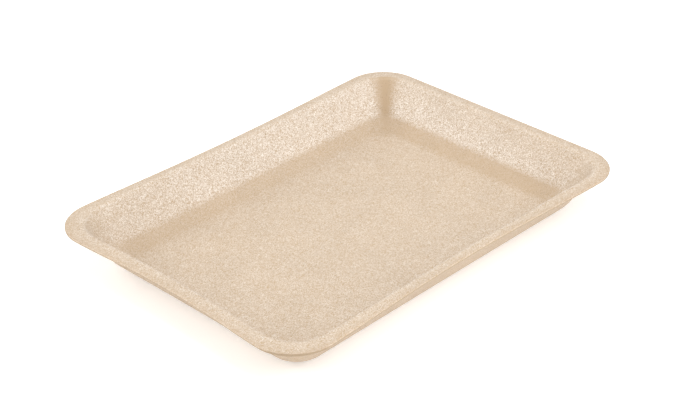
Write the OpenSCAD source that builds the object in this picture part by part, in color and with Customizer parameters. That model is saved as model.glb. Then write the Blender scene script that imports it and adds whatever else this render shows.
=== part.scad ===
// Shallow food tray, moulded in one piece from thin board.
// A flat floor turns up through a wide fillet into sloping walls, and the walls
// roll over into a narrow rim that droops a little towards its trimmed edge.
// The origin is at the middle of the tray, on the surface it stands on, with +Z up.

/* [Overall] */
// Length over the rim, along X
length = 250; // [180:1:400]
// Width over the rim, along Y
width = 181; // [130:1:300]
// Depth inside, from the top of the rim down to the floor
depth = 24.8; // [14:0.1:40]
// Thickness of the moulded board
board = 1.6; // [1.1:0.1:2.4]

/* [Rim] */
// Width of the rim along the front and the back, at the corners
rim_side_w = 7.7; // [5:0.1:14]
// Width of the rim at the left end, at the corners
rim_left_w = 8.8; // [5:0.1:14]
// Width of the rim at the right end, at the corners
rim_right_w = 7.1; // [5:0.1:14]
// Corner radius of the rim's trimmed edge, seen from above
rim_corner_r = 23.2; // [10:0.1:36]
// How far the trimmed edge lies below the rim's crest
rim_droop = 0.45; // [0:0.05:1.5]
// Rounding of the trimmed edge, above and below
edge_r = 0.5; // [0.1:0.05:0.75]
// Radius over which the rim rolls down into the walls
lip_r = 2.6; // [1.8:0.1:5]

/* [Walls and floor] */
// How far the walls lean in on their way down, rim to floor
wall_lean = 13.9; // [6:0.1:24]
// Fillet radius between the walls and the floor
fillet_r = 14.8; // [3:0.1:20]
// Corner radius where the walls meet the rim, seen from above
mouth_corner_r = 19.6; // [10:0.1:40]
// Corner radius of the flat floor, seen from above
floor_corner_r = 11.6; // [4:0.1:20]

/* [Bowed sides] */
// How far the trimmed edge bows in at the middle of the front and the back
edge_bow_sides = 3.2; // [0:0.1:6]
// How far the trimmed edge bows in at the middle of the left end
edge_bow_left = 3; // [0:0.1:8]
// How far the trimmed edge bows in at the middle of the right end
edge_bow_right = 0; // [0:0.1:4.5]
// How far the top of the wall bows in at the middle of the front and the back
mouth_bow_sides = 0.8; // [0:0.1:6]
// How far the top of the wall bows in at the middle of the left end
mouth_bow_left = 1.9; // [0:0.1:6]
// How far the top of the wall bows in at the middle of the right end
mouth_bow_right = 0; // [0:0.1:6]
// How far the rim rises at the middle of the front and the back
side_rise = 0.35; // [0:0.05:3]

/* [Hidden] */

// Facets of one rounded corner, of one straight side and of the rounded bends
corner_steps = 8;
side_steps = 8;
fillet_steps = 7;
lip_steps = 4;
edge_steps = 2;

// How gently a bow begins at the ends of its side: 1 is a plain arc, more is gentler
bow_ease = 1.5;

// Heights of the floor's upper face and of the rim's crest
floor_z = board;
crest_z = board + depth;
edge_z = crest_z - rim_droop;

// Slopes of the walls and of the rim, and how far each bend reaches along them
wall_slope = atan2(depth, wall_lean);
rim_slope = -atan2(rim_droop, rim_side_w);
fillet_reach = fillet_r * tan(wall_slope / 2);
lip_reach = lip_r * tan((wall_slope - rim_slope) / 2);

// Centres of the two bends in the tray's section, as [out from the mouth, height].
// The mouth is the line where the walls would meet the rim without the rolled lip.
fillet_c = [-wall_lean - fillet_reach, floor_z + fillet_r];
lip_c = [
    lip_r * sin(wall_slope) - lip_reach * cos(wall_slope),
    crest_z - lip_r * cos(wall_slope) - lip_reach * sin(wall_slope)
];

function mix(a, b, share) = a + (b - a) * share;

// How far down the wall a height is: 0 at the rim's crest, 1 on the floor
function sunk(z) = min(max((crest_z - z) / depth, 0), 1);

// The upper face of the section, from the floor to the rim, as stations
// [out from the mouth, height, slope of the face there]
upper_face = concat(
    [for (i = [0 : fillet_steps])
        let (slope = wall_slope * i / fillet_steps)
        [fillet_c[0] + fillet_r * sin(slope), fillet_c[1] - fillet_r * cos(slope), slope]],
    [for (i = [0 : lip_steps])
        let (slope = mix(wall_slope, rim_slope, i / lip_steps))
        [lip_c[0] - lip_r * sin(slope), lip_c[1] + lip_r * cos(slope), slope]]
);

// How much of its bow a side has along its length: none at its ends, all of it at its middle
function bow_share(along) = pow(1 - pow(2 * along - 1, 2), bow_ease);

// One closed loop of points round the tray at height z, anticlockwise from above: a rectangle
// of half lengths hx = [left, right] and half width hy, with corners of radius r.
// The four bows pull its back, left, front and right side in, and rise lifts the long sides.
function loop(hx, hy, r, z, bows, rise) =
    let (
        corners = [
            [hx[1] - r, hy - r], [r - hx[0], hy - r], [r - hx[0], r - hy], [hx[1] - r, r - hy]
        ],
        rises = [rise, 0, rise, 0]
    )
    [for (k = [0 : 3])
        let (
            c = corners[k],
            next = corners[(k + 1) % 4],
            out = [cos(90 * (k + 1)), sin(90 * (k + 1))]
        )
        each concat(
            [for (i = [0 : corner_steps])
                let (a = 90 * (k + i / corner_steps))
                [c[0] + r * cos(a), c[1] + r * sin(a), z]],
            [for (i = [1 : side_steps - 1])
                let (
                    along = i / side_steps,
                    share = bow_share(along),
                    p = mix(c, next, along) + (r - bows[k] * share) * out
                )
                [p[0], p[1], z + rises[k] * share]]
        )
    ];

// The loop of the wall or the lip at a station, thick millimetres below the upper face
function wall_loop(station, thick) =
    let (
        slope = station[2],
        out = station[0] + thick * sin(slope),
        share = sunk(station[1]),
        r = mix(mouth_corner_r, floor_corner_r, share) + thick * sin(slope)
    )
    loop(
        [length / 2 - rim_left_w + out, length / 2 - rim_right_w + out],
        width / 2 - rim_side_w + out,
        r,
        station[1] - thick * cos(slope),
        (1 - share) * [mouth_bow_sides, mouth_bow_left, mouth_bow_sides, mouth_bow_right],
        (1 - share) * side_rise
    );

// The loop of the trimmed edge, in from its outermost line, at height z
function edge_loop(in, z) =
    loop(
        [length / 2 - in, length / 2 - in],
        width / 2 - in,
        rim_corner_r - in,
        z,
        [edge_bow_sides, edge_bow_left, edge_bow_sides, edge_bow_right],
        side_rise
    );

// The trimmed edge from its upper to its lower face, rounded by edge_r at both
edge_loops = concat(
    [for (i = [0 : edge_steps])
        let (a = 90 * i / edge_steps)
        edge_loop(edge_r * (1 - sin(a)), edge_z - edge_r * (1 - cos(a)))],
    [for (i = [0 : edge_steps])
        let (a = 90 * i / edge_steps)
        edge_loop(edge_r * (1 - cos(a)), edge_z - board + edge_r * (1 - sin(a)))]
);

// Every loop in turn: up the inside, round the edge and down the outside
stations = len(upper_face);
loops = concat(
    [for (s = upper_face) wall_loop(s, 0)],
    edge_loops,
    [for (i = [stations - 1 : -1 : 0]) wall_loop(upper_face[i], board)]
);

// The middle of a loop
function middle(loop) = [for (p = loop) 1] * loop / len(loop);

// A closed shell over a stack of loops, with a fan of triangles over its first and last loop
module shell(loops) {
    rows = len(loops);
    n = len(loops[0]);
    first_tip = rows * n;
    last_tip = first_tip + 1;
    polyhedron(
        points = concat(
            [for (row = loops) each row],
            [middle(loops[0]), middle(loops[rows - 1])]
        ),
        faces = [for (j = [0 : n - 1])
            let (k = (j + 1) % n)
            each concat(
                [[first_tip, k, j]],
                [for (i = [0 : rows - 2])
                    each [
                        [i * n + j, i * n + k, (i + 1) * n + k],
                        [i * n + j, (i + 1) * n + k, (i + 1) * n + j]
                    ]],
                [[last_tip, (rows - 1) * n + j, (rows - 1) * n + k]]
            )]
    );
}

module tray() {
    color("burlywood") shell(loops);
}

tray();
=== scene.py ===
# %% [markdown]
# A shallow food tray, pressed in one piece from a flat sheet of board.
#
# Such a tray can start as a flat blank. A mould with a matching plug draws it down: the middle
# stays flat and becomes the floor, a wide band is stretched into sloping walls, and the last
# few millimetres stay nearly flat and become the rim. This lesson goes the same way: a blank
# is made with Blender's mesh operators, it is pressed to the mould's shape, and then it gets
# the board's thickness, its rounded edge, its grain, a light table, lamps and a camera.
#
# Everything is in metres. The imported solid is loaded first, as the fixed frame that the tray
# has to fill.

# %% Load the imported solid
import math

import bpy
from mathutils import Matrix, Vector


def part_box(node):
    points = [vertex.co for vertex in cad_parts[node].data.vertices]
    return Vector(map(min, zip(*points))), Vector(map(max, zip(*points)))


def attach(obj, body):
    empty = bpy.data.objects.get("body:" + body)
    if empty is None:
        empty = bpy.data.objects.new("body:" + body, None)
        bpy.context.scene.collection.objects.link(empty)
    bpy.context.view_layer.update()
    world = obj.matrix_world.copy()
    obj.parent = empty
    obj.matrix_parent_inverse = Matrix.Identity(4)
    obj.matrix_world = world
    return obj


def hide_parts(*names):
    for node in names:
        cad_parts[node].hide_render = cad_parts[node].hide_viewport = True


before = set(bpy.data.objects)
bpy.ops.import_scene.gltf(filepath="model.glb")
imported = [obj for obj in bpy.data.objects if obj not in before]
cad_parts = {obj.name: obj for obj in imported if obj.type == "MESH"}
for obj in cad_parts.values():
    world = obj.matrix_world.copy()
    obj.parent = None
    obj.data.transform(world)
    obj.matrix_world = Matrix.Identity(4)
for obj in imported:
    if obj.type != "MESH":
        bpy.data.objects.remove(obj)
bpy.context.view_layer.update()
MM = 0.001
low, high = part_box("tray")
LENGTH = high.x - low.x
WIDTH = high.y - low.y
print("the frame, in mm:", [round(side / MM, 1) for side in (LENGTH, WIDTH, high.z)])

# %% [markdown]
# The section of the tray is the same all the way round. From the floor it turns up through a
# wide fillet, runs straight up the wall, and rolls over a small lip into the rim, which
# droops a little towards its trimmed edge. The mouth is the line where the wall and the rim
# would meet without the lip. All places in the section are measured outwards from it.

# %% Sizes of the section
BOARD = 1.6 * MM
DEPTH = 24.8 * MM
RIM_DROOP = 0.45 * MM
EDGE_R = 0.5 * MM
LIP_R = 2.6 * MM
WALL_LEAN = 13.9 * MM
FILLET_R = 14.8 * MM
RIM_SIDE_W = 7.7 * MM
RIM_LEFT_W = 8.8 * MM
RIM_RIGHT_W = 7.1 * MM
RIM_CORNER_R = 23.2 * MM
MOUTH_CORNER_R = 19.6 * MM
FLOOR_CORNER_R = 11.6 * MM

FLOOR_Z = BOARD
CREST_Z = BOARD + DEPTH
WALL_SLOPE = math.atan2(DEPTH, WALL_LEAN)
RIM_SLOPE = -math.atan2(RIM_DROOP, RIM_SIDE_W)
fillet_reach = FILLET_R * math.tan(WALL_SLOPE / 2)
lip_reach = LIP_R * math.tan((WALL_SLOPE - RIM_SLOPE) / 2)
print("the walls stand at", round(math.degrees(WALL_SLOPE), 1), "degrees")

# %% [markdown]
# The section becomes a list of stations, one for each ring of the mesh. A station holds how
# far out from the mouth it lies, its height, and how far it is on its way over the rim: 0 up
# to the end of the lip, 1 at the trimmed edge. Bends get short steps, because light shows
# every facet of a bend, and the straight wall gets longer ones.

# %% Stations of the section
FILLET_STEPS = 16
WALL_STEPS = 10
LIP_STEPS = 9
RIM_SHARES = (0.25, 0.5, 0.7, 0.85, 1)


def mix(a, b, share):
    return a + (b - a) * share


fillet_c = (-WALL_LEAN - fillet_reach, FLOOR_Z + FILLET_R)
lip_c = (
    LIP_R * math.sin(WALL_SLOPE) - lip_reach * math.cos(WALL_SLOPE),
    CREST_Z - LIP_R * math.cos(WALL_SLOPE) - lip_reach * math.sin(WALL_SLOPE),
)
fillet = [
    (fillet_c[0] + FILLET_R * math.sin(a), fillet_c[1] - FILLET_R * math.cos(a), 0)
    for a in (WALL_SLOPE * i / FILLET_STEPS for i in range(FILLET_STEPS + 1))
]
lip = [
    (lip_c[0] - LIP_R * math.sin(a), lip_c[1] + LIP_R * math.cos(a), 0)
    for a in (mix(WALL_SLOPE, RIM_SLOPE, i / LIP_STEPS) for i in range(LIP_STEPS + 1))
]
wall = [
    tuple(mix(fillet[-1][k], lip[0][k], i / WALL_STEPS) for k in range(3))
    for i in range(1, WALL_STEPS)
]
rim = [(lip[-1][0], lip[-1][1], share) for share in RIM_SHARES]
stations = fillet + wall + lip + rim
print("the section has", len(stations), "stations")

# %% [markdown]
# Seen from above each ring is a rectangle with rounded corners, and its sides bow in a
# little at their middles, as pressed board does when it springs back. The bow is strongest
# at the rim and dies out on the way down, and so does the slight lift of the long sides.

# %% The ring of a station
EDGE_BOWS = [3.2 * MM, 3.0 * MM, 3.2 * MM, 0]
MOUTH_BOWS = [0.8 * MM, 1.9 * MM, 0.8 * MM, 0]
SIDE_RISE = 0.35 * MM
BOW_EASE = 1.5


def ring(station):
    """The half lengths, half width, corner radius, height, bows and lift of a station's ring."""
    out, z, over = station
    sunk = min(max((CREST_Z - z) / DEPTH, 0), 1)
    at_wall = [
        LENGTH / 2 - RIM_LEFT_W + out,
        LENGTH / 2 - RIM_RIGHT_W + out,
        WIDTH / 2 - RIM_SIDE_W + out,
        mix(MOUTH_CORNER_R, FLOOR_CORNER_R, sunk),
        z,
        *[(1 - sunk) * bow for bow in MOUTH_BOWS],
        (1 - sunk) * SIDE_RISE,
    ]
    at_edge = [
        LENGTH / 2,
        LENGTH / 2,
        WIDTH / 2,
        RIM_CORNER_R,
        CREST_Z - RIM_DROOP,
        *EDGE_BOWS,
        SIDE_RISE,
    ]
    return [mix(a, b, over) for a, b in zip(at_wall, at_edge)]


floor_ring = ring(stations[0])
floor_length, floor_width = floor_ring[0] + floor_ring[1], 2 * floor_ring[2]
print("the flat floor is", round(floor_length / MM), "x", round(floor_width / MM), "mm")

# %% [markdown]
# The blank could be cut from a grid, but then the fine bend at the lip would need a very
# fine grid everywhere. So it is made of rings instead. A plane the size of the floor has its
# corners rounded with a vertex bevel and its sides divided, which gives one loop of points.
# The loop is extruded straight up, by one pitch for each further station. The height of a
# point then says which ring it is in, and nothing needs to be counted later.

# %% Make the blank
CORNER_CUTS = 16
LONG_CUTS = 40
SHORT_CUTS = 24
PITCH = 1 * MM
NEAR_ENOUGH = 0.01 * MM


def only(mesh, wanted):
    """Leaves only the edit-mode vertices selected that wanted says yes to."""
    bpy.ops.object.mode_set(mode="OBJECT")
    for group in (mesh.polygons, mesh.edges):
        for item in group:
            item.select = False
    for v in mesh.vertices:
        v.select = wanted(v.co)
    for e in mesh.edges:
        e.select = all(mesh.vertices[i].select for i in e.vertices)
    bpy.ops.object.mode_set(mode="EDIT")


def straight(mesh, axis, half):
    """Leaves only the two edges selected that run along the sides at half from the middle."""
    bpy.ops.object.mode_set(mode="OBJECT")
    for group in (mesh.polygons, mesh.edges, mesh.vertices):
        for item in group:
            item.select = False
    for e in mesh.edges:
        a, b = (mesh.vertices[i].co for i in e.vertices)
        if abs(a[axis] - b[axis]) < NEAR_ENOUGH and abs(abs(a[axis]) - half) < NEAR_ENOUGH:
            e.select = True
            for i in e.vertices:
                mesh.vertices[i].select = True
    bpy.ops.object.mode_set(mode="EDIT")


bpy.ops.object.select_all(action="DESELECT")
floor_half = Vector((floor_length / 2, floor_width / 2, 0))
floor_shift = (floor_ring[1] - floor_ring[0]) / 2
# A plane of size 2 reaches 1 each way, so it is scaled by the floor's half sizes
bpy.ops.mesh.primitive_plane_add(size=2)
tray = bpy.context.object
tray.name = "tray_board"
mesh = tray.data
bpy.ops.object.mode_set(mode="EDIT")
bpy.ops.mesh.select_mode(type="VERT")
bpy.ops.transform.resize(value=(floor_half.x, floor_half.y, 1))
bpy.ops.mesh.bevel(
    offset=FLOOR_CORNER_R, segments=CORNER_CUTS, affect="VERTICES", clamp_overlap=False
)
bpy.ops.mesh.select_all(action="SELECT")
bpy.ops.mesh.delete(type="ONLY_FACE")
straight(mesh, 1, floor_half.y)
bpy.ops.mesh.subdivide(number_cuts=LONG_CUTS - 1)
straight(mesh, 0, floor_half.x)
bpy.ops.mesh.subdivide(number_cuts=SHORT_CUTS - 1)
bpy.ops.mesh.select_all(action="SELECT")
for _ in stations[1:]:
    bpy.ops.mesh.extrude_edges_move(TRANSFORM_OT_translate={"value": (0, 0, PITCH)})
bpy.ops.object.mode_set(mode="OBJECT")
per_ring = len(mesh.vertices) // len(stations)
print("the blank has", len(mesh.vertices), "points in rings of", per_ring)

# %% [markdown]
# The blank is now a tube that is open at both ends. The bottom loop is filled with a grid of
# four-sided faces, because light falls unevenly on one big many-sided face. Grid fill
# starts at a point of its own choice, so its corners are turned a few points along, into the
# middles of the rounded corners. The faces then turn their fronts into the tray.

# %% Fill the floor
GRID_TURN = 2

only(mesh, lambda co: co.z < PITCH / 2)
bpy.ops.mesh.fill_grid(span=LONG_CUTS + CORNER_CUTS, offset=GRID_TURN)
bpy.ops.mesh.select_all(action="SELECT")
bpy.ops.mesh.normals_make_consistent(inside=True)
bpy.ops.object.mode_set(mode="OBJECT")
floor_faces = [p for p in mesh.polygons if p.center.z < PITCH / 4]
print("the floor has", len(floor_faces), "faces, facing up:", min(p.normal.z for p in floor_faces) > 0)

# %% [markdown]
# Pressing is one move: every point goes to its own ring of the mould. A point in a corner
# keeps its angle round the corner, and a point on a side keeps its share of the side's
# length, so the faces stretch evenly, as the board does. Proportional editing could pull the
# sides in too, but a formula puts each ring exactly where the solid has it.

# %% Press the blank
def press(co, rings):
    """The place on the mould of a point of the blank."""
    left, right, half, r, z, *bows, rise = rings[round(co.z / PITCH)]
    flat_x, flat_y = floor_half.x - FLOOR_CORNER_R, floor_half.y - FLOOR_CORNER_R
    beyond_x, beyond_y = abs(co.x) - flat_x, abs(co.y) - flat_y
    if round(co.z / PITCH) == 0:
        return Vector((co.x + floor_shift, co.y, z))
    hx = right if co.x > 0 else left
    side_x, side_y = math.copysign(1, co.x), math.copysign(1, co.y)
    if beyond_x > 0 and beyond_y > 0:
        turn = math.atan2(beyond_y, beyond_x)
        x, y = hx - r + r * math.cos(turn), half - r + r * math.sin(turn)
        return Vector((side_x * x, side_y * y, z))
    if beyond_y > beyond_x:
        along = co.x / flat_x
        share = max(1 - along * along, 0) ** BOW_EASE
        bow = bows[0] if co.y > 0 else bows[2]
        x = mix(r - left, right - r, (along + 1) / 2)
        return Vector((x, side_y * (half - bow * share), z + rise * share))
    along = co.y / flat_y
    share = max(1 - along * along, 0) ** BOW_EASE
    bow = bows[3] if co.x > 0 else bows[1]
    return Vector((side_x * (hx - bow * share), along * (half - r), z))


rings = [ring(station) for station in stations]
blank = [v.co.copy() for v in mesh.vertices]
for v in mesh.vertices:
    v.co = press(v.co, rings)
mesh.update()
print("pressed to", [round(side / MM, 1) for side in tray.dimensions], "mm")

# %% [markdown]
# The board's skin is a grain of pale and tan specks, and the share of pale specks also carries
# painted light and shade. The flat walls get many pale specks, partly grain and partly a painted
# sheen where they face the side lamps, and the fillet and the corners get few, as painted shade,
# most of all in a stripe down the far corner. The walls also grow paler towards that corner, a
# painted fall of light, and the floor is a trace paler near its front and left edges, painted
# light against the shade of the near walls. All this follows the rings and the corners, and every
# point of the blank still knows its own, so the share goes into an attribute, which the material
# reads later.
# A second attribute marks the last ring, the edge that was cut.

# %% Mark how pale the board is, with painted light and shade
PALE_FLOOR = 0.26
# Near its front and left edges the floor is a trace paler, painted light against the shade of the near
# walls
PALE_NEAR_FLOOR = 0.285
NEAR_FLOOR_REACH = 45 * MM
# The fillets get few pale specks: painted shade in the bend between wall and floor
PALE_SIDE_FILLET = 0.155
PALE_END_FILLET = 0.105
# A wall has one share at its foot and one at its top, partly grain and partly painted sheen
PALE_SIDE_WALL = (0.5, 0.48)
PALE_END_WALL = (0.56, 0.38)
# The crest of the lip is paler and the rim beyond it darker: a painted highlight on the crest
PALE_CREST = 0.3
PALE_RIM = 0.14
# Where the darkest part of the fillet's painted shade starts and ends, as shares of the way up it
FILLET_START = 0.3
FILLET_END = 0.75
# Where a wall starts and stops growing paler, a painted fall of light towards the far corner, and the
# factors on its share there
SIDE_RAMP = (-98 * MM, -10 * MM, 0.75, 1.0)
END_RAMP = (-60 * MM, 55 * MM, 0.80, 1.04)
# A corner's stripe of painted shade: its middle, its width at the foot and at the top, how firm
# its sides are, and its share of pale specks
FAR_STRIPE = (math.radians(42), math.radians(18), math.radians(23), 2.5, 0.01)
OTHER_STRIPE = (math.radians(45), math.radians(32), math.radians(38), 2, 0.3)
# A stripe fades out over this many stations at the end of the lip
STRIPE_FADE = 3
WALL_TOP = FILLET_STEPS + WALL_STEPS


def along_section(k, floor, fillet, foot, top, painted_light_factor):
    """The share of pale specks k stations up, with its painted light and shade; the last argument, a
    painted fall of light, scales it in the fillet and the wall.
    """
    profile = [
        (0, floor),
        (FILLET_STEPS * FILLET_START, fillet * painted_light_factor),
        (FILLET_STEPS * FILLET_END, fillet * painted_light_factor),
        (FILLET_STEPS, foot * painted_light_factor),
        (WALL_TOP, top * painted_light_factor),
        (WALL_TOP + LIP_STEPS, PALE_CREST),
        (len(stations), PALE_RIM),
    ]
    for (k0, pale0), (k1, pale1) in zip(profile, profile[1:]):
        if k <= k1:
            return mix(pale0, pale1, (k - k0) / (k1 - k0))


def ramp(at, start, end, low_value, high_value):
    """Goes evenly from the low value at start to the high value at end, and is level beyond."""
    return mix(low_value, high_value, min(max((at - start) / (end - start), 0), 1))


def stripe_mark(k, turn, stripe):
    """How strongly a corner's stripe of painted shade shows k stations up, at that turn round the
    corner.
    """
    middle, foot_width, top_width, firmness, _ = stripe
    width = mix(foot_width, top_width, min(max((k - FILLET_STEPS) / WALL_STEPS, 0), 1))
    on_wall = min(k / FILLET_STEPS, 1) * min((WALL_TOP + LIP_STEPS - k) / STRIPE_FADE, 1)
    return math.exp(-abs((turn - middle) / width) ** firmness) * max(on_wall, 0)


def paleness_and_painted_light(co, place):
    """The share of pale specks, with its painted light and shade, at a point of the blank that was
    pressed to that place.
    """
    k = co.z / PITCH
    beyond_x = abs(co.x) - floor_half.x + FLOOR_CORNER_R
    beyond_y = abs(co.y) - floor_half.y + FLOOR_CORNER_R
    in_corner = beyond_x > 0 and beyond_y > 0
    turn = math.atan2(max(beyond_y, 0), max(beyond_x, 0))
    to_side = turn / (math.pi / 2)
    from_edge = min(place.x + LENGTH / 2, place.y + WIDTH / 2)
    from_near = from_edge - WALL_LEAN - fillet_reach - RIM_SIDE_W
    floor = ramp(from_near, 0, NEAR_FLOOR_REACH, PALE_NEAR_FLOOR, PALE_FLOOR)
    foot, top = (mix(a, b, to_side) for a, b in zip(PALE_END_WALL, PALE_SIDE_WALL))
    fillet = mix(PALE_END_FILLET, PALE_SIDE_FILLET, to_side)
    # The walls grow paler towards the far corner: a painted fall of light
    painted_light_factor = mix(ramp(place.y, *END_RAMP), ramp(place.x, *SIDE_RAMP), to_side)
    pale_and_painted_light = along_section(k, floor, fillet, foot, top, painted_light_factor)
    if in_corner and k > 0:
        stripe = FAR_STRIPE if co.x > 0 and co.y > 0 else OTHER_STRIPE
        pale_and_painted_light = mix(pale_and_painted_light, stripe[-1], stripe_mark(k, turn, stripe))
    return pale_and_painted_light


pale_and_painted_light = mesh.attributes.new("pale_and_painted_light", "FLOAT", "POINT")
edge = mesh.attributes.new("edge", "FLOAT", "POINT")
for co, v, point, mark in zip(blank, mesh.vertices, pale_and_painted_light.data, edge.data):
    point.value = paleness_and_painted_light(co, v.co)
    mark.value = 1 if round(co.z / PITCH) == len(stations) - 1 else 0
shares = [point.value for point in pale_and_painted_light.data]
print("paleness runs from", round(min(shares), 2), "to", round(max(shares), 2))

# %% [markdown]
# So far the tray is a skin with no thickness. The Solidify modifier adds the board's
# thickness below it, even round the bends. The trimmed edge of pressed board is never
# razor sharp, so a Bevel modifier rounds the two edges where the rim was cut. Both are
# applied, and the tray is one closed shell.

# %% Give it the board's thickness
EDGE_CUTS = 3
SHARP = math.radians(50)

bpy.ops.object.select_all(action="DESELECT")
tray.select_set(True)
bpy.context.view_layer.objects.active = tray
thickness = tray.modifiers.new("board", "SOLIDIFY")
thickness.thickness = BOARD
thickness.offset = -1
thickness.use_even_offset = True
bpy.ops.object.modifier_apply(modifier="board")
rounding = tray.modifiers.new("edge", "BEVEL")
rounding.width = EDGE_R
rounding.segments = EDGE_CUTS
rounding.limit_method = "ANGLE"
rounding.angle_limit = SHARP
bpy.ops.object.modifier_apply(modifier="edge")
bpy.ops.object.shade_smooth_by_angle(angle=SHARP)
smooth = sum(face.use_smooth for face in mesh.polygons)
print("the tray has", len(mesh.polygons), "faces, of which smooth:", smooth)

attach(tray, "root")
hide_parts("tray")

# %% [markdown]
# The underside is painted a little darker than the inside, as painted shade under the tray, and
# the cut edge gets painted shade and no pale specks. Round the corners all of the cut is shaded
# so, and along the sides only its foot, a thin painted shadow line under the rim. A third
# attribute holds this painted shade: 1 on the inside and the rim, less on the cut edge and
# below. It is set only now, because the edge and the underside came with the thickness.

# %% Paint shade on the cut edge and the underside
# Painted shade: the tone of the cut edge and of the underside, and their shares of pale specks
PAINTED_SHADE_CUT = 0.78
PAINTED_SHADE_BELOW = 0.95
PALE_CUT = 0.0
PALE_BELOW = 0.15
# A point of the cut edge gets the painted shade of the cut if the height of its normal is under
# this: along a side, where it means facing down, and in the middle of a corner, where it means nearly
# all
CUT_FACING = -0.1
CORNER_CUT_FACING = 0.93
MARKED = 0.5

painted_shade = mesh.attributes.new("painted_shade", "FLOAT", "POINT")
pale_and_painted_light, edge = mesh.attributes["pale_and_painted_light"], mesh.attributes["edge"]
cut_points = 0
for v in mesh.vertices:
    beyond_x = abs(v.co.x) - LENGTH / 2 + RIM_CORNER_R
    beyond_y = abs(v.co.y) - WIDTH / 2 + RIM_CORNER_R
    turn = math.atan2(max(beyond_y, 0), max(beyond_x, 0))
    facing = mix(CUT_FACING, CORNER_CUT_FACING, math.sin(2 * turn))
    tone, share = 1, pale_and_painted_light.data[v.index].value
    if v.normal.z < CUT_FACING:
        tone, share = PAINTED_SHADE_BELOW, min(share, PALE_BELOW)
    if edge.data[v.index].value > MARKED and v.normal.z < facing:
        tone, share = PAINTED_SHADE_CUT, PALE_CUT
        cut_points += 1
    painted_shade.data[v.index].value = tone
    pale_and_painted_light.data[v.index].value = share
print("points on the cut edge:", cut_points)

# %% [markdown]
# The board's material is made of nodes, and it has many of them, so four short helpers come
# first. One adds a node and joins its inputs, one maps a value from one range to another, one
# adds or divides, and one multiplies. The first returns its node, and the others return the
# output that the next node takes.

# %% Helpers for the material
board = bpy.data.materials.new("pressed board")
board.use_nodes = True
tree = board.node_tree
shader = tree.nodes["Principled BSDF"]


def add(kind, settings=(), **inputs):
    """Adds a node; inputs take a value or the output of another node."""
    made = tree.nodes.new(kind)
    for name, value in dict(settings).items():
        setattr(made, name, value)
    for name, value in inputs.items():
        numbered = name[1:].isdigit()
        socket = made.inputs[int(name[1:]) if numbered else name.replace("_", " ")]
        if isinstance(value, bpy.types.NodeSocket):
            tree.links.new(value, socket)
        else:
            socket.default_value = value
    return made


def ranged(value, low_in, high_in, low_out, high_out):
    """Maps a value from one range to another, held at both ends."""
    made = add("ShaderNodeMapRange", Value=value)
    for socket, number in zip(list(made.inputs)[1:5], (low_in, high_in, low_out, high_out)):
        if isinstance(number, bpy.types.NodeSocket):
            tree.links.new(number, socket)
        else:
            socket.default_value = number
    return made.outputs["Result"]


def math_node(operation, a, b):
    return add("ShaderNodeMath", {"operation": operation}, _0=a, _1=b).outputs[0]


def times(a, b):
    return math_node("MULTIPLY", a, b)


print("the board's shader is", shader.name)

# %% [markdown]
# Up close the board is not smooth. Its skin is a close pattern of tiny cells, each a little
# bead between fine creases, well under a millimetre across. Some beads are pale and some are
# tan, by chance, and the attribute of pale specks says how many of each, with its painted light
# and shade. A Voronoi texture gives both: its distance is the shape of a bead, and its colour is
# three chance numbers for each bead.
# The pattern reads Object coordinates, so it stays put on the tray from any side.
#
# A bead whose first chance number is low stays tan, and one whose number is high gets as pale
# as its place allows. Where few beads are pale they are also less pale, so the fillets and the
# corners look dark and even, as painted shade. The share is raised and lowered a little in
# clumps, and a few stray beads get paler.

# %% Beads: which are pale
BEAD = 0.35 * MM
CREASE = 0.7
NOISE_RANGE = (0.3, 0.7)
CLUMP = 4 * MM
CLUMP_FACTORS = (0.88, 1.12)
# At no share and at half a share of pale beads: the chance numbers at which beads start to
# get paler and are palest, and how pale the beads then are on average, with 1 the palest
SHARES = (0.0, 0.5)
STARTS = (0.15, 0.12)
ENDS = (1.0, 0.88)
AVERAGES = (0.425, 0.5)
STRAY_CHANCE = (0.94, 0.95)
STRAY_EXTRA = 0.6

on_tray = add("ShaderNodeTexCoord").outputs["Object"]
pale_and_painted_light_share = add("ShaderNodeAttribute", {"attribute_name": "pale_and_painted_light"}).outputs["Fac"]
beads = add("ShaderNodeTexVoronoi", Vector=on_tray, Scale=1 / BEAD)
chance = add("ShaderNodeSeparateColor", Color=beads.outputs["Color"])
dome = ranged(beads.outputs["Distance"], 0.0, CREASE, 1.0, 0.0)
clump_noise = add("ShaderNodeTexNoise", Vector=on_tray, Scale=1 / CLUMP)
share = times(pale_and_painted_light_share, ranged(clump_noise.outputs["Fac"], *NOISE_RANGE, *CLUMP_FACTORS))
palest = math_node("DIVIDE", share, ranged(share, *SHARES, *AVERAGES))
starts_at = ranged(share, *SHARES, *STARTS)
ends_at = ranged(share, *SHARES, *ENDS)
stray = times(share, ranged(chance.outputs["Blue"], *STRAY_CHANCE, 0.0, STRAY_EXTRA))
speck = math_node("ADD", ranged(chance.outputs["Red"], starts_at, ends_at, 0.0, palest), stray)
print("the beads take", len(tree.nodes), "nodes")

# %% [markdown]
# The paleness of each bead mixes tan with cream. A few beads are dark dots, a slow mottle
# keeps the floor from looking flat, and the third attribute darkens the cut edge and the
# underside with painted shade. The beads also stand up as tiny domes, and each has its own gloss,
# so the walls sparkle where they face a lamp. A dome is only 0.02 mm high, which is why it is a
# bump and not real faces: no outline would show it.

# %% Board: colour, creases and gloss
BEAD_HEIGHT = 0.02 * MM
TAN = (0.472, 0.343, 0.217, 1)
PALE = (0.830, 0.766, 0.695, 1)
DOT_CHANCE = (0.96, 0.97)
DOT_TONE = 0.78
MOTTLE = 25 * MM
MOTTLE_TONES = (0.97, 1.02)
ROUGHNESS = (0.4, 0.65)

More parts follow.
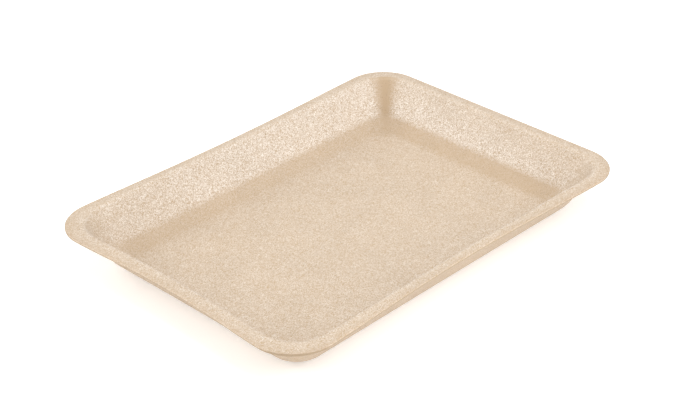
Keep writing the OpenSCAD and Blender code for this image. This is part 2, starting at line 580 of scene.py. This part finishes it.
dots = ranged(chance.outputs["Green"], *DOT_CHANCE, 1.0, DOT_TONE)
mottle_noise = add("ShaderNodeTexNoise", Vector=on_tray, Scale=1 / MOTTLE)
mottle = ranged(mottle_noise.outputs["Fac"], *NOISE_RANGE, *MOTTLE_TONES)
painted_shade_share = add("ShaderNodeAttribute", {"attribute_name": "painted_shade"}).outputs["Fac"]
# The dark dots and the mottle are the board's own tone; the third attribute adds painted shade on the
# cut edge and below
tone = times(times(dots, mottle), painted_shade_share)
# Tan mixed with cream by the share of pale specks, which also carries the painted sheen and shade
colour = add("ShaderNodeMix", {"data_type": "RGBA"}, _0=speck, _6=TAN, _7=PALE)
shaded = add("ShaderNodeVectorMath", {"operation": "SCALE"}, _0=colour.outputs[2], _3=tone)
tree.links.new(shaded.outputs[0], shader.inputs["Base Color"])
bump = add("ShaderNodeBump", Height=dome, Distance=BEAD_HEIGHT, Strength=1.0)
tree.links.new(bump.outputs["Normal"], shader.inputs["Normal"])
tree.links.new(ranged(chance.outputs["Blue"], 0.0, 1.0, *ROUGHNESS), shader.inputs["Roughness"])
mesh.materials.clear()
mesh.materials.append(board)
print("the board material has", len(tree.nodes), "nodes")

# %% [markdown]
# The tray stands on a white acrylic table that is lit from below as well as from above. That
# is how a pale thing is shown on white: the table's own light fills the shadow round the
# tray, and only a trace of it is left. The table is a plain white plane with a weak glow.

# %% Light table
TABLE_SIZE = 6
TABLE_WHITE = (0.93, 0.93, 0.93, 1)
TABLE_GLOW = 0.3

bpy.ops.object.select_all(action="DESELECT")
bpy.ops.mesh.primitive_plane_add(size=TABLE_SIZE)
table = bpy.context.object
table.name = "table"
acrylic = bpy.data.materials.new("white acrylic")
acrylic.use_nodes = True
surface = acrylic.node_tree.nodes["Principled BSDF"].inputs
surface["Base Color"].default_value = TABLE_WHITE
surface["Roughness"].default_value = 1
surface["Emission Color"].default_value = (1, 1, 1, 1)
surface["Emission Strength"].default_value = TABLE_GLOW
table.data.materials.append(acrylic)
print("the table is", TABLE_SIZE, "m wide and glows at", TABLE_GLOW)

# %% [markdown]
# The camera looks down on the near left corner through a long lens from almost a metre away,
# so the far sides shrink only a little. Its place is given as a direction from the tray and a
# distance, with a small roll, because such numbers can be changed one at a time. Azimuth 0 is
# the front, and a negative azimuth stands to the left of it. The three directions of the
# camera's own axes and its place then make its matrix.

# %% Camera
def rise_and_turn(azimuth, elevation):
    """The direction from the tray to a thing that stands at that azimuth and elevation."""
    a, e = math.radians(azimuth), math.radians(elevation)
    return Vector((math.sin(a) * math.cos(e), -math.cos(a) * math.cos(e), math.sin(e)))


CAM_AZ = -45.384
CAM_EL = 30.621
CAM_ROLL = -0.914
CAM_DISTANCE = 0.87767
CAM_LENS = 87.011
CAM_SENSOR = 36
CAM_AIM = Vector((-3.96 * MM, -8.32 * MM, CREST_Z))

back = rise_and_turn(CAM_AZ, CAM_EL)
level = Vector((math.cos(math.radians(CAM_AZ)), math.sin(math.radians(CAM_AZ)), 0))
upright = back.cross(level)
roll = math.radians(CAM_ROLL)
right = level * math.cos(roll) + upright * math.sin(roll)
up = upright * math.cos(roll) - level * math.sin(roll)
camera_data = bpy.data.cameras.new("camera")
camera_data.lens = CAM_LENS
camera_data.sensor_width = CAM_SENSOR
camera = bpy.data.objects.new("camera", camera_data)
bpy.context.scene.collection.objects.link(camera)
place = CAM_AIM + back * CAM_DISTANCE
camera.matrix_world = Matrix(
    [(right[i], up[i], back[i], place[i]) for i in range(3)] + [(0, 0, 0, 1)]
)
bpy.context.scene.camera = camera
print("the camera stands at", [round(side / MM) for side in place], "mm")

# %% [markdown]
# The light is that of a light tent: white cloth all round, which a plain white world stands
# for, with softboxes outside it. Two strong ones, far out on each side of the camera and
# rather low, graze the walls and bring out their grain. The others fill from the left rear,
# from low in front, from high on the right and from straight above. A softbox is an area
# light, and its size is what makes its shadows soft. Each is given by its azimuth from the
# camera's side, its elevation and its share of light.

# %% Light
TENT = 0.55
SOFTBOX = 0.8
LAMP_DISTANCE = 1.5
LAMPS = {
    "right softbox": (80, 32, 0.322),
    "left softbox": (-80, 32, 0.323),
    "left rear softbox": (-120, 32, 0.146),
    "low front softbox": (0, 12, 0.207),
    "high right softbox": (40, 55, 0.219),
    "overhead softbox": (0, 90, 0.270),
}


def add_lamp(name, azimuth, elevation, share):
    """A square softbox that aims at the tray; share is its light there, on the scale of TENT."""
    data = bpy.data.lights.new(name, "AREA")
    data.size = SOFTBOX
    data.energy = share * (math.pi * LAMP_DISTANCE) ** 2
    made = bpy.data.objects.new(name, data)
    towards = rise_and_turn(CAM_AZ + azimuth, elevation)
    made.location = towards * LAMP_DISTANCE
    made.rotation_euler = towards.to_track_quat("Z", "Y").to_euler()
    bpy.context.scene.collection.objects.link(made)


world = bpy.data.worlds.new("tent")
bpy.context.scene.world = world
world.use_nodes = True
world.node_tree.nodes["Background"].inputs["Color"].default_value = (1, 1, 1, 1)
world.node_tree.nodes["Background"].inputs["Strength"].default_value = TENT
for name, (azimuth, elevation, share) in LAMPS.items():
    add_lamp(name, azimuth, elevation, share)
bpy.context.scene.view_settings.view_transform = "Standard"
print("lamps:", ", ".join(LAMPS))
